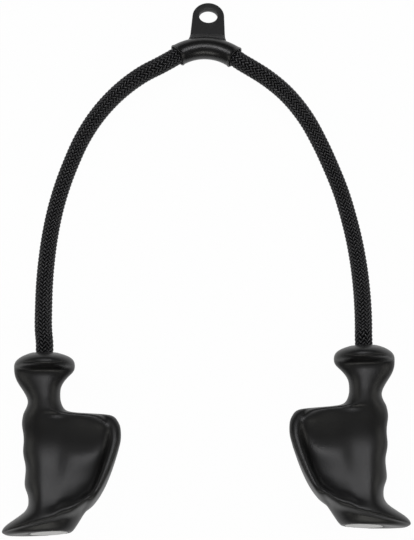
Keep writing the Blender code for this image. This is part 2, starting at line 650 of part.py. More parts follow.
def grip_rings(side):
    """The grip's sections in its own frame: the rope's mouth at zero, its base towards -Y."""
    shares = [0.0]
    for start, end, steps in SECTION_RUN_SHARES:
        shares += [start + (end - start) * (k + 1) / steps for k in range(steps)]
    rings = []
    for share in shares:
        lean = math.tan(math.radians(profile_at(SIDE_SLANT_DEGREES, share)))
        pitch = math.tan(math.radians(profile_at(FORWARD_SLANT_DEGREES, share)))
        along = share * GRIP_LENGTH
        rings.append(
            [(side * p.x, -(along - p.x * lean - p.y * pitch), p.y) for p in section(share)]
        )
    return rings


def base_normal(side):
    """The way that the grip's base faces, in the grip's frame."""
    lean = math.tan(math.radians(BASE_SIDE_SLANT))
    pitch = math.tan(math.radians(BASE_FORWARD_SLANT))
    return Vector((side * lean, -1, pitch)).normalized()


def base_point(side, inner, height, depth=0.0):
    """A point of the base's plane, or as deep under it as asked, in the grip's frame."""
    lean = math.tan(math.radians(BASE_SIDE_SLANT))
    pitch = math.tan(math.radians(BASE_FORWARD_SLANT))
    place = Vector((side * inner, -(GRIP_LENGTH - inner * lean - height * pitch), height))
    return place - base_normal(side) * depth


def place_on_base(obj, side, depth):
    """Stand a disc that runs along +Z on the base's plane, as deep under it as asked."""
    obj.rotation_mode = "QUATERNION"
    obj.rotation_quaternion = Vector((0, 0, 1)).rotation_difference(base_normal(side))
    obj.location = base_point(side, BADGE_INNER_OFFSET, -BADGE_BACK_OFFSET, depth)


def along_rope(obj, distance):
    """Set a piece that runs along +Z on the rope's line in the grip, away from the mouth."""
    obj.rotation_euler = (math.pi / 2, 0, 0)
    obj.location = (0, -distance, 0)


def pocket_radius():
    return (WASHER_RADIUS + POCKET_CLEARANCE) / math.cos(math.pi / BORE_SIDES)


def recess_depth():
    return BADGE_THICKNESS + PLUG_HEAD_THICKNESS + 2 * SEAT_GAP


def make_grip(name, side, frame):
    mesh = mesh_from(name, lambda bm: loft(bm, grip_rings(side)))
    grip = add_object(name, mesh, BLACK_RUBBER, frame)
    bore = cylinder_mesh(name + "_bore", bore_radius(BORE_SIDES), GRIP_LENGTH, BORE_SIDES)
    bore = add_cutter(name + "_bore", bore, frame)
    along_rope(bore, -OVERRUN)
    pocket = cylinder_mesh(name + "_pocket", pocket_radius(), POCKET_DEPTH + OVERRUN, BORE_SIDES)
    pocket = add_cutter(name + "_pocket", pocket, frame)
    along_rope(pocket, GRIP_LENGTH - POCKET_DEPTH)
    radius = (BADGE_RADIUS + SEAT_GAP) / math.cos(math.pi / DISC_SIDES)
    recess = cylinder_mesh(name + "_recess", radius, recess_depth() + OVERRUN, DISC_SIDES)
    recess = add_cutter(name + "_recess", recess, frame)
    place_on_base(recess, side, recess_depth())
    for cutter in (bore, pocket, recess):
        boolean(grip, cutter)


def make_rope_end(name, frame):
    """The rope's end inside the grip, with its washer and its crimped sleeve."""
    shoulder = GRIP_LENGTH - POCKET_DEPTH
    washer_start = shoulder + SEAT_GAP
    sleeve_start = washer_start + WASHER_THICKNESS + SEAT_GAP
    rope_end = sleeve_start + SLEEVE_LENGTH
    points = [(0, -SEAT_GAP, 0), (0, -shoulder, 0), (0, -rope_end, 0)]
    curve = tube_curve(name + "_rope_tail", points, ROPE_RADIUS, ROPE_BEVEL_RESOLUTION)
    add_object(name + "_rope_tail", curve, BLACK_ROPE, frame)
    inside = bore_radius(TURNED_STEPS)
    profile = (
        (inside, 0), (WASHER_RADIUS, 0), (WASHER_RADIUS, WASHER_THICKNESS), (inside, WASHER_THICKNESS),
    )
    washer = add_object(name + "_washer", turned_mesh(name + "_washer", profile[::-1]), BARE_STEEL, frame)
    screw(washer)
    along_rope(washer, washer_start)
    waist = SLEEVE_RADIUS - SLEEVE_CRIMP_DEPTH
    profile = [(inside, 0), (SLEEVE_RADIUS - SLEEVE_CHAMFER, 0), (SLEEVE_RADIUS, SLEEVE_CHAMFER)]
    for groove in CRIMP_GROOVE_SHARES:
        radii = (SLEEVE_RADIUS, waist, waist, SLEEVE_RADIUS)
        profile += [(radius, share * SLEEVE_LENGTH) for radius, share in zip(radii, groove)]
    profile += [
        (SLEEVE_RADIUS, SLEEVE_LENGTH - SLEEVE_CHAMFER),
        (SLEEVE_RADIUS - SLEEVE_CHAMFER, SLEEVE_LENGTH), (inside, SLEEVE_LENGTH),
    ]
    sleeve = add_object(name + "_sleeve", turned_mesh(name + "_sleeve", profile[::-1]), BARE_STEEL, frame)
    screw(sleeve)
    along_rope(sleeve, sleeve_start)


def make_base(name, side, frame):
    """The plug that closes the pocket, and the bare disc that covers it."""
    head = cylinder_mesh(name + "_end_plug", BADGE_RADIUS, PLUG_HEAD_THICKNESS, DISC_SIDES)
    plug = add_object(name + "_end_plug", head, DARK_PLASTIC, frame)
    place_on_base(plug, side, recess_depth() - SEAT_GAP)
    radius = WASHER_RADIUS
    near, far = [], []
    for k in range(BORE_SIDES):
        angle = 2 * math.pi * k / BORE_SIDES
        inner, height = radius * math.cos(angle), radius * math.sin(angle)
        under = base_point(side, inner, height, recess_depth() - PLUG_HEAD_THICKNESS / 2)
        far.append(under)
        near.append((under.x, under.y + PLUG_SPIGOT_LENGTH + PLUG_HEAD_THICKNESS / 2, under.z))
    spigot = mesh_from(name + "_spigot", lambda bm: loft(bm, (near, far)))
    spigot = add_cutter(name + "_spigot", spigot, frame)
    boolean(plug, spigot, "UNION")
    badge = cylinder_mesh(name + "_badge", BADGE_RADIUS, BADGE_THICKNESS, DISC_SIDES)
    badge = add_object(name + "_badge", badge, PALE_DISC, frame)
    place_on_base(badge, side, BADGE_THICKNESS)


def smooth_route(points):
    """Evenly spaced points on a smooth curve through the points of a route."""
    spans, ways = tangents(points)
    fine = []
    for k, span in enumerate(spans):
        for step in range(ROPE_ROUTE_STEPS):
            share = step / ROPE_ROUTE_STEPS
            fine.append(curve_point(points[k], points[k + 1], ways[k], ways[k + 1], span, share))
    fine.append(points[-1])
    return fine


def length_of(points):
    return sum((after - before).length for before, after in zip(points, points[1:]))


def stretch(points, start, end):
    """Points of a route between two distances along it, a few diameters apart, with square ends."""
    first, last = start + ROPE_END_RUN, end - ROPE_END_RUN
    count = max(2, round((last - first) / (ROPE_STEP_DIAMETERS * ROPE_DIAMETER)))
    wanted = [start] + [first + (last - first) * k / count for k in range(count + 1)] + [end]
    found, walked, k = [], 0.0, 0
    for distance in wanted:
        while k < len(points) - 2 and walked + (points[k + 1] - points[k]).length < distance:
            walked += (points[k + 1] - points[k]).length
            k += 1
        step = points[k + 1] - points[k]
        found.append(points[k] + step * ((distance - walked) / step.length))
    return found


def make_free_rope(name, route_mm, saddle_end, grip_end):
    """The rope between the saddle and a grip, in two stretches that bend against each other."""
    saddle_mouth, saddle_way = saddle_end
    grip_mouth, grip_way = grip_end
    route = [saddle_mouth, saddle_mouth + saddle_way * ROPE_RADIUS]
    route += [Vector(point) * MM for point in route_mm]
    route += [grip_mouth - grip_way * ROPE_RADIUS, grip_mouth]
    fine = smooth_route(route)
    whole = length_of(fine)
    split = UPPER_SHARE * whole
    runs = {
        name + "_rope_upper": stretch(fine, SEAT_GAP, split - SEAT_GAP / 2),
        name + "_rope_lower": stretch(fine, split + SEAT_GAP / 2, whole),
    }
    joint = runs[name + "_rope_lower"][0]
    places = {name + "_rope_upper": saddle_mouth, name + "_rope_lower": joint}
    for node, points in runs.items():
        curve = tube_curve(node, points, ROPE_RADIUS, ROPE_BEVEL_RESOLUTION)
        rope = add_object(node, curve, BLACK_ROPE)
        axis = add_empty(node + "_axis", places[node])
        carry(rope, axis)
    return joint, whole


def report(label, lengths):
    print(label, " ".join(f"{length / MM:.2f}" for length in lengths), "mm")


def make_side(name, side, mouth, turn, route_mm, bracket):
    """One grip with what it holds, and the free rope that leads to it. A side of 1 is the left."""
    frame = add_empty(name + "_grip_frame", mouth, (-GRIP_SLOPE, 0, turn))
    make_grip(name + "_grip", side, frame)
    make_rope_end(name, frame)
    make_base(name, side, frame)
    bpy.context.view_layer.update()
    place, way = mouth_place(-side)
    saddle_end = (bracket.matrix_world @ place, bracket.matrix_world.to_3x3() @ way)
    grip_end = (frame.matrix_world.translation, frame.matrix_world.to_3x3() @ Vector((0, -1, 0)))
    joint, whole = make_free_rope(name, route_mm, saddle_end, grip_end)
    report(name + " free rope", [whole])
    report(name + " joint between the stretches", joint)
    report(name + " saddle mouth", saddle_end[0])
    report(name + " grip mouth", grip_end[0])


def mouth_height():
    """Height of the rope's middle line at a grip's mouth, with the flange on the surface."""
    widest = FLANGE_PLACE_SHARE * GRIP_LENGTH
    return FLANGE_RADIUS * math.cos(GRIP_SLOPE) - widest * math.sin(GRIP_SLOPE) + GRIP_CLEARANCE


clear_scene()
PARTS = new_collection("triceps_rope")
CUTTERS = new_collection("cutters", hidden=True)
BRACKET = make_bracket()
LEFT_MOUTH = (LEFT_MOUTH_X, LEFT_MOUTH_Y, mouth_height())
RIGHT_MOUTH = (RIGHT_MOUTH_X, RIGHT_MOUTH_Y, mouth_height())
make_side("left", 1, LEFT_MOUTH, 0, LEFT_ROUTE_MM, BRACKET)
make_side("right", -1, RIGHT_MOUTH, RIGHT_TURN, RIGHT_ROUTE_MM, BRACKET)
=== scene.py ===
"""Looks of the triceps rope: powder-coated bracket, braided rope and moulded rubber grips.

The rope lies on its back on a pale floor, and the camera looks straight down at it. Places are in
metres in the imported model's frame: +X across the rope, +Y towards the lug, +Z up from the floor.
"""

import math

import bpy
import numpy as np
from mathutils import Matrix, Vector


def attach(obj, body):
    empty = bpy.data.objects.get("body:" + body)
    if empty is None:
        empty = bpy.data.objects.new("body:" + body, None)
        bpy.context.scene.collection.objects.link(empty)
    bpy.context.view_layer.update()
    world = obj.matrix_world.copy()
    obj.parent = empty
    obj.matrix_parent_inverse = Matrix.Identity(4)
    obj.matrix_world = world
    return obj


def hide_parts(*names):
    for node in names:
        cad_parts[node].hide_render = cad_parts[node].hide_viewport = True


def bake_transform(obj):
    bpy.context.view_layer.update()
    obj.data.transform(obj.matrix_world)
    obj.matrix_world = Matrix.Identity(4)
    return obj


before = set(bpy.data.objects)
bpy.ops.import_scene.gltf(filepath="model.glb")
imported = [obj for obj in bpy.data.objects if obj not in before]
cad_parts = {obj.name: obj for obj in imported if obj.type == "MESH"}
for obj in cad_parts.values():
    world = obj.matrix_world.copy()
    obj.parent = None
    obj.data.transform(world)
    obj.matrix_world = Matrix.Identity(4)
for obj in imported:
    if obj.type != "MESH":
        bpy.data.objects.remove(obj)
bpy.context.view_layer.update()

MM = 0.001

# Bracket: its frame stands on the saddle's middle, leans back on the lug's tip and turns a little
BRACKET_PLACE = (0, 205.2 * MM, 23.584 * MM)
BRACKET_LEAN = math.radians(-26)
BRACKET_TURN = math.radians(-2)
BRACKET = (
    Matrix.Translation(BRACKET_PLACE)
    @ Matrix.Rotation(BRACKET_TURN, 4, "Z")
    @ Matrix.Rotation(BRACKET_LEAN, 4, "X")
)
SADDLE_RADIUS = 44 * MM
SADDLE_HALF_ANGLE = math.radians(36.8)
TUBE_RADIUS = 10.2 * MM
TUBE_WALL = 1.5 * MM
LIP_LENGTH = 3 * MM
LIP_RADIUS = 10.8 * MM
TUBE_SIDES = 64
TUBE_STEPS = 60
WELD_LENGTH_SHARE = 0.9
WELD_VOXEL = 0.5 * MM
WELD_SMOOTHINGS = 14

# Rope: one piece from the left grip through the saddle to the right grip, on the solids' own route
ROPE_DIAMETER = 16 * MM
ROPE_RADIUS = ROPE_DIAMETER / 2
WAIST_SHARE = 0.93
SPAN_STEPS = 12
SADDLE_STEPS = 24
LEFT_MOUTH = Vector((-26.616, 198.244, 27.427)) * MM
LEFT_MOUTH_WAY = Vector((-0.81903, -0.51013, 0.26259))
LEFT_GRIP = Vector((-149.9, -77.0, 27.519)) * MM
LEFT_GRIP_WAY = Vector((0.0, -0.99619, 0.08716))
LEFT_ROUTE_MM = (
    (-42.2, 189, 31.6), (-57.4, 181.2, 31.4), (-79.6, 165.7, 26), (-101.1, 143.8, 18.6),
    (-116.2, 121.2, 13.4), (-126.6, 99, 10.6), (-135, 76.8, 9.6), (-141.4, 54.6, 9.6),
    (-145.9, 32.4, 10.4), (-148.9, 10.2, 12.4), (-150.7, -12, 15.6), (-151.3, -34.2, 19.8),
    (-151.1, -56.4, 24.4),
)
RIGHT_MOUTH = Vector((26.066, 196.405, 27.427)) * MM
RIGHT_MOUTH_WAY = Vector((0.78145, -0.56602, 0.26259))
RIGHT_GRIP = Vector((145.8, -70.2, 27.519)) * MM
RIGHT_GRIP_WAY = Vector((0.02434, -0.9959, 0.08716))
RIGHT_ROUTE_MM = (
    (40.2, 187, 31.4), (54.2, 178.3, 31), (73.6, 163.1, 25), (92.7, 140.6, 17.8),
    (106, 117.6, 12.8), (116.8, 94.6, 10.3), (125.8, 72.2, 9.6), (132.6, 49.8, 9.6),
    (138, 27.6, 10.6), (141.9, 5.4, 12.8), (144.4, -16.8, 16.2), (145.6, -38, 20.6),
    (145.8, -54, 24),
)
TAIL_LENGTH = 153 * MM

# Braid: 32 strands, half of them each way round, each over two and under two, one turn in 59 mm.
# It shows as 16 columns of slanting stitches, 3.1 mm wide, with a stitch each 3.7 mm.
STRANDS_EACH_WAY = 16
BRAID_LEAD = 59 * MM
RING_STEP = 0.74 * MM
STRAND_HALF_WIDTH = 0.88 * MM
STRAND_HALF_THICKNESS = 0.8 * MM
STRAND_SIDES = 6
STRAND_MIDDLE_SHARE = 0.865
STRAND_WAVE_SHARE = 0.07
WEAVE_STEEPNESS = 1.9
CORE_SHARE = 0.79
CORE_SIDES = 24
HIDDEN_STRAND_SIDES = 4
HIDDEN_RING_STEPS = 2
CORD_POINT_RINGS = 7
CORD_LAST_RINGS = 4

# Where each length of rope ends, from the saddle's mouth, and where its bend would be, looked up
# but not used: the last one's bend is counted from the grip's mouth
NEAR_END = 100 * MM
MIDDLE_END = 213 * MM
INTO_GRIP = 12 * MM
NEAR_BEND = (0, 38 * MM)
MIDDLE_BEND = (103 * MM, 165 * MM)
FAR_BEND_START = -40 * MM
FAR_BEND_STOP = -2 * MM

# Grips: the base's middle and the way that it faces
LEFT_BASE = Vector((-144.9, -242.824, 41.023)) * MM
LEFT_BASE_WAY = Vector((0.05189, -0.97498, 0.21615))
RIGHT_BASE = Vector((144.853, -236.097, 41.023)) * MM
RIGHT_BASE_WAY = Vector((-0.02805, -0.97596, 0.21615))
DISC_RADIUS = 17.5 * MM
DISC_THICKNESS = 0.8 * MM
DISC_INSETS = ((1.5 * MM, 0), (0.3 * MM, -0.18 * MM), (4 * MM, 0), (5 * MM, 0))
GRIP_VOXEL = 0.95 * MM
GRIP_SMOOTHINGS = 5
GRIP_SWELL = 0.15 * MM

# Camera: straight above, so far up that one pixel of the photograph is 0.925 mm on the object
PHOTO_HEIGHT = 540
PIXEL_MM = 0.925
CAMERA_PLACE = (0.56 * MM, -0.46 * MM, 2.0)
CAMERA_VIEW_HEIGHT = PHOTO_HEIGHT * PIXEL_MM * MM
CAMERA_VIEW_DISTANCE = 1.97
CAMERA_FAR = 20
SENSOR_HEIGHT = 36.0

# Floor and light: each lamp's name, place, size in metres, watts and colour
FLOOR_SIZE = 6.0
FLOOR_GLOW_SHARE = 0.98
WORLD_STRENGTH = 0.065
COOL = (0.985, 0.98, 1.0)
WARM = (1.0, 0.985, 0.93)
LAMPS = (
    ("box_left", (-0.35, 0.8, 1.6), (0.5, 0.45), 6, COOL),
    ("box_right", (0.35, 0.8, 1.6), (0.5, 0.45), 6, COOL),
    ("low_front", (0, -1.3, 1.3), (1.6, 0.5), 8, WARM),
    ("low_left", (-1.5, 0.1, 0.8), (0.5, 1.0), 3, WARM),
    ("low_right", (1.5, 0.1, 0.8), (0.5, 1.0), 3, WARM),
)

# Fine values: where doubled points merge, and how high a strand is where its fibres start to glint
# and its painted highlight starts
MERGE_DISTANCE = 0.005 * MM
CROWN_START = 0.55
CROWN_GLINT = (0.03, 0.55)
FILAMENT_LENGTH = 6 * MM
FILAMENT_WIDTH = 0.28 * MM


# ---------------------------------------------------------------- colours and materials


def linear(hex_code):
    """An sRGB hex colour in the linear values that a shader takes."""
    parts = [int(hex_code[k:k + 2], 16) / 255 for k in (1, 3, 5)]
    return [c / 12.92 if c <= 0.04045 else ((c + 0.055) / 1.055) ** 2.4 for c in parts] + [1.0]


def add_node(tree, kind, settings=None, links=None):
    """A shader node with its settings, and with what goes into its sockets."""
    node = tree.nodes.new(kind)
    for name, value in (settings or {}).items():
        if name in node.bl_rna.properties:
            setattr(node, name, value)
        else:
            node.inputs[name].default_value = value
    for name, source in (links or {}).items():
        tree.links.new(source, node.inputs[name])
    return node


def new_material(name, hex_code, settings):
    """A material with one surface shader, and with its even values on that shader's own sockets."""
    material = bpy.data.materials.new(name)
    material.use_nodes = True
    tree = material.node_tree
    surface = tree.nodes["Principled BSDF"]
    surface.inputs["Base Color"].default_value = linear(hex_code)
    for socket, value in settings.items():
        surface.inputs[socket].default_value = value
    return material, tree, surface


def colour_between(tree, surface, low, high, factor):
    """Let the surface's colour wander between two hex colours."""
    mix = add_node(tree, "ShaderNodeMix", {"data_type": "RGBA"}, {"Factor": factor})
    colours = [s for s in mix.inputs if s.type == "RGBA"]
    colours[0].default_value = linear(low)
    colours[1].default_value = linear(high)
    result = [s for s in mix.outputs if s.type == "RGBA"][0]
    tree.links.new(result, surface.inputs["Base Color"])


def noise(tree, place, size, detail=2.0):
    """A noise whose lumps are as large as asked, read at a place."""
    return add_node(
        tree, "ShaderNodeTexNoise", {"Scale": 1 / size, "Detail": detail}, {"Vector": place}
    ).outputs["Fac"]


def powder_coated_steel(name, low_colour, high_colour, low_rough, high_rough):
    """Black polyester powder coat, baked: satin, with orange peel and a fine dry grain."""
    material, tree, surface = new_material(name, low_colour, {"Roughness": low_rough, "IOR": 1.5})
    place = add_node(tree, "ShaderNodeTexCoord").outputs["Object"]
    peel = noise(tree, place, 1.3 * MM)
    grain = noise(tree, place, 0.4 * MM, 3.0)
    colour_between(tree, surface, low_colour, high_colour, noise(tree, place, 16 * MM, 4.0))
    spread = add_node(
        tree, "ShaderNodeMapRange", {"To Min": low_rough, "To Max": high_rough}, {"Value": grain}
    )
    tree.links.new(spread.outputs["Result"], surface.inputs["Roughness"])
    low = add_node(
        tree, "ShaderNodeBump", {"Strength": 0.5, "Distance": 0.12 * MM}, {"Height": peel}
    )
    fine = add_node(
        tree, "ShaderNodeBump", {"Strength": 0.5, "Distance": 0.05 * MM},
        {"Height": grain, "Normal": low.outputs["Normal"]},
    )
    tree.links.new(fine.outputs["Normal"], surface.inputs["Normal"])
    return material


def braided_polyester():
    """Black multifilament polyester: a strand's crown reflects more and is painted lighter as a
    highlight, and where it dives it is painted dark as shade.
    """
    material, tree, surface = new_material(
        "braided_polyester", "#17171a", {"Roughness": 0.34, "IOR": 1.5}
    )
    crown = add_node(tree, "ShaderNodeUVMap", {"uv_map": "crown"}).outputs["UV"]
    height = add_node(tree, "ShaderNodeSeparateXYZ", {}, {"Vector": crown}).outputs["X"]
    # How high the weave lifts the strand: this sets its glint and its painted highlight
    crown_light = add_node(
        tree, "ShaderNodeMapRange", {"From Min": CROWN_START, "From Max": 1.0}, {"Value": height}
    ).outputs["Result"]
    glint = add_node(
        tree, "ShaderNodeMapRange", {"To Min": CROWN_GLINT[0], "To Max": CROWN_GLINT[1]},
        {"Value": crown_light},
    ).outputs["Result"]
    tree.links.new(glint, surface.inputs["Specular IOR Level"])
    along = add_node(tree, "ShaderNodeUVMap", {"uv_map": "strand"}).outputs["UV"]
    stretched = add_node(
        tree, "ShaderNodeMapping", {"Scale": (1 / FILAMENT_LENGTH, 1 / FILAMENT_WIDTH, 1)},
        {"Vector": along},
    ).outputs["Vector"]
    filaments = noise(tree, stretched, 1.0, 3.0)
    light = add_node(tree, "ShaderNodeMath", {"operation": "MULTIPLY"})
    tree.links.new(crown_light, light.inputs[0])
    tree.links.new(filaments, light.inputs[1])
    # Painted highlight and shade: the colour goes from near-black where a strand dives to grey on
    # its crown, streaked along its filaments
    colour_between(tree, surface, "#030303", "#3e3e42", light.outputs[0])
    bump = add_node(
        tree, "ShaderNodeBump", {"Strength": 0.7, "Distance": 0.1 * MM}, {"Height": filaments}
    )
    tree.links.new(bump.outputs["Normal"], surface.inputs["Normal"])
    return material


def rope_core_painted_shade():
    """The laid core under the braid, painted near-black as the shade that lies between the strands.
    """
    # Painted shade: the core is near-black, darker than the fibre itself, to stand for the shadow
    # between the strands
    material, tree, surface = new_material(
        "rope_core_painted_shade", "#030303", {"Roughness": 0.9, "Specular IOR Level": 0.05}
    )
    place = add_node(tree, "ShaderNodeTexCoord").outputs["Object"]
    colour_between(tree, surface, "#020202", "#060606", noise(tree, place, 0.6 * MM, 3.0))
    return material


def moulded_rubber():
    """Black thermoplastic rubber from a spark-eroded mould: matt, with a fine even grain."""
    material, tree, surface = new_material(
        "moulded_rubber", "#09090a", {"Roughness": 0.42, "IOR": 1.5}
    )
    place = add_node(tree, "ShaderNodeTexCoord").outputs["Object"]
    grain = noise(tree, place, 0.5 * MM, 4.0)
    patch = noise(tree, place, 22 * MM, 3.0)
    colour_between(tree, surface, "#060607", "#0c0c0d", patch)
    spread = add_node(
        tree, "ShaderNodeMapRange", {"To Min": 0.38, "To Max": 0.46}, {"Value": patch}
    )
    tree.links.new(spread.outputs["Result"], surface.inputs["Roughness"])
    bump = add_node(
        tree, "ShaderNodeBump", {"Strength": 0.6, "Distance": 0.06 * MM}, {"Height": grain}
    )
    tree.links.new(bump.outputs["Normal"], surface.inputs["Normal"])
    return material


def disc_plastic():
    """A bare disc of pale grey polypropylene, moulded: silky, a little uneven in tone."""
    material, tree, surface = new_material("disc_plastic", "#d4d5d6", {"Roughness": 0.4})
    place = add_node(tree, "ShaderNodeTexCoord").outputs["Object"]
    colour_between(tree, surface, "#cbccce", "#dcdcdb", noise(tree, place, 7 * MM, 4.0))
    bump = add_node(
        tree, "ShaderNodeBump", {"Strength": 0.4, "Distance": 0.04 * MM},
        {"Height": noise(tree, place, 0.45 * MM, 3.0)},
    )
    tree.links.new(bump.outputs["Normal"], surface.inputs["Normal"])
    return material


def plug_plastic():
    """Black nylon plug under the disc, moulded: a shade glossier than the rubber."""
    material, tree, surface = new_material("plug_nylon", "#1d1d1f", {"Roughness": 0.4})
    place = add_node(tree, "ShaderNodeTexCoord").outputs["Object"]
    bump = add_node(
        tree, "ShaderNodeBump", {"Strength": 0.4, "Distance": 0.05 * MM},
        {"Height": noise(tree, place, 0.6 * MM, 3.0)},
    )
    tree.links.new(bump.outputs["Normal"], surface.inputs["Normal"])
    colour_between(tree, surface, "#18181a", "#232325", noise(tree, place, 9 * MM))
    return material


def zinc_plated_steel():
    """Bright zinc plate on the crimped sleeve and washer: grey metal with fine turned scratches."""
    material, tree, surface = new_material(
        "zinc_plated_steel", "#b4b6b8", {"Metallic": 1.0, "Roughness": 0.35}
    )
    place = add_node(tree, "ShaderNodeTexCoord").outputs["Object"]
    stretched = add_node(
        tree, "ShaderNodeMapping", {"Scale": (1.0, 1 / 0.06, 1.0)}, {"Vector": place}
    ).outputs["Vector"]
    scratches = noise(tree, stretched, 4 * MM, 3.0)
    spread = add_node(
        tree, "ShaderNodeMapRange", {"To Min": 0.28, "To Max": 0.44}, {"Value": scratches}
    )
    tree.links.new(spread.outputs["Result"], surface.inputs["Roughness"])
    colour_between(tree, surface, "#a7a9ab", "#c0c1c2", noise(tree, place, 5 * MM))
    bump = add_node(
        tree, "ShaderNodeBump", {"Strength": 0.3, "Distance": 0.03 * MM}, {"Height": scratches}
    )
    tree.links.new(bump.outputs["Normal"], surface.inputs["Normal"])
    return material


# ---------------------------------------------------------------- working by hand


def deselect():
    """Leave edit mode and select nothing."""
    if bpy.context.object and bpy.context.object.mode != "OBJECT":
        bpy.ops.object.mode_set(mode="OBJECT")
    bpy.ops.object.select_all(action="DESELECT")


def pick(piece):
    """Make this piece the only selected and active one."""
    deselect()
    piece.select_set(True)
    bpy.context.view_layer.objects.active = piece


def edit(piece, kind="VERT"):
    """Go into edit mode on this piece with nothing selected."""
    pick(piece)
    bpy.ops.object.mode_set(mode="EDIT")
    bpy.ops.mesh.select_mode(type=kind)
    bpy.ops.mesh.select_all(action="DESELECT")
    bpy.ops.object.mode_set(mode="OBJECT")


def select_faces(piece, wanted):
    """Select the faces for which wanted(face) is true, and go into edit mode."""
    edit(piece, "FACE")
    for face in piece.data.polygons:
        face.select = wanted(face)
    bpy.ops.object.mode_set(mode="EDIT")


def apply_modifier(piece, kind, settings):
    """Put one modifier on a piece and apply it."""
    pick(piece)
    modifier = piece.modifiers.new(kind.lower(), kind)
    for name, value in settings.items():
        setattr(modifier, name, value)
    bpy.ops.object.modifier_apply(modifier=modifier.name)


def settle(piece, place=None):
    """Apply a piece's place, so that its object sits at the origin, unturned and unscaled."""
    pick(piece)
    if place is not None:
        piece.matrix_world = place @ piece.matrix_world
        bpy.context.view_layer.update()
    bpy.ops.object.transform_apply(location=True, rotation=True, scale=True)


def smooth(piece, degrees):
    """Shade a piece smooth, but for edges sharper than an angle."""
    pick(piece)
    bpy.ops.object.shade_smooth_by_angle(angle=math.radians(degrees))


def finer_copy(node, name, flat=0.5):
    """A copy of a solid with its loose triangles joined, and its flat parts merged to one face."""
    piece = bpy.data.objects.new(name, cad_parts[node].data.copy())
    bpy.context.scene.collection.objects.link(piece)
    edit(piece)
    bpy.ops.object.mode_set(mode="EDIT")
    bpy.ops.mesh.select_all(action="SELECT")
    bpy.ops.mesh.remove_doubles(threshold=MERGE_DISTANCE)
    if flat:
        bpy.ops.mesh.dissolve_limited(angle_limit=math.radians(flat))
    bpy.ops.object.mode_set(mode="OBJECT")
    if piece.data.has_custom_normals:
        bpy.ops.mesh.customdata_custom_splitnormals_clear()
    return piece


def dress(piece, material, body, nodes):
    """Give a piece its finish, the body that it rides on and the solids that it stands for."""
    piece.data.materials.clear()
    piece.data.materials.append(material)
    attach(piece, body)
    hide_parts(*nodes)


# ---------------------------------------------------------------- rope


def tangents(points):
    """The way that a smooth line through these points runs at each, weighted by chord lengths."""
    spans = [(b - a).length for a, b in zip(points, points[1:])]
    slopes = [(b - a) / s for a, b, s in zip(points, points[1:], spans)]
    inner = []
    for k in range(len(slopes) - 1):
        weighted = slopes[k] * spans[k + 1] + slopes[k + 1] * spans[k]
        inner.append(weighted / (spans[k] + spans[k + 1]))
    return spans, [slopes[0]] + inner + [slopes[-1]]


def curve_point(start, end, out, into, span, t):
    """A point of the smooth line between two points of a route."""
    rise = t * t * (3 - 2 * t)
    leave = t * (1 - t) * (1 - t)
    arrive = t * t * (1 - t)
    return start * (1 - rise) + end * rise + out * span * leave - into * span * arrive


def smooth_route(points):
    """The smooth line through a route's points, as the solids' source makes it."""
    spans, ways = tangents(points)
    line = []
    for k, span in enumerate(spans):
        for step in range(SPAN_STEPS):
            line.append(
                curve_point(points[k], points[k + 1], ways[k], ways[k + 1], span, step / SPAN_STEPS)
            )
    return line + [points[-1]]


def free_route(mouth, mouth_way, route_mm, grip, grip_way):
    """One side's line from the saddle's mouth to the grip's mouth."""
    points = [mouth, mouth + mouth_way * ROPE_RADIUS]
    points += [Vector(p) * MM for p in route_mm]
    points += [grip - grip_way * ROPE_RADIUS, grip]
    return smooth_route(points)


def length_along(line):
    """How far along a line each of its points lies."""
    steps = np.linalg.norm(np.diff(np.array(line), axis=0), axis=1)
    return np.concatenate([[0.0], np.cumsum(steps)])


def carried_frames(points):
    """Two ways square to the line at each point, carried along it without twist."""
    ways = np.gradient(points, axis=0)
    ways /= np.linalg.norm(ways, axis=1)[:, None]
    across = np.cross(ways[0], (0.0, 0.0, 1.0))
    across /= np.linalg.norm(across)
    carried = [across]
    for k in range(1, len(points)):
        across = across - ways[k] * np.dot(across, ways[k])
        across /= np.linalg.norm(across)
        carried.append(across)
    carried = np.array(carried)
    return carried, np.cross(ways, carried)


def saddle_place(turn):
    """The middle of the saddle's bend at an angle from its top, in the bracket's own frame."""
    return Vector((math.sin(turn), math.cos(turn) - 1, 0)) * SADDLE_RADIUS


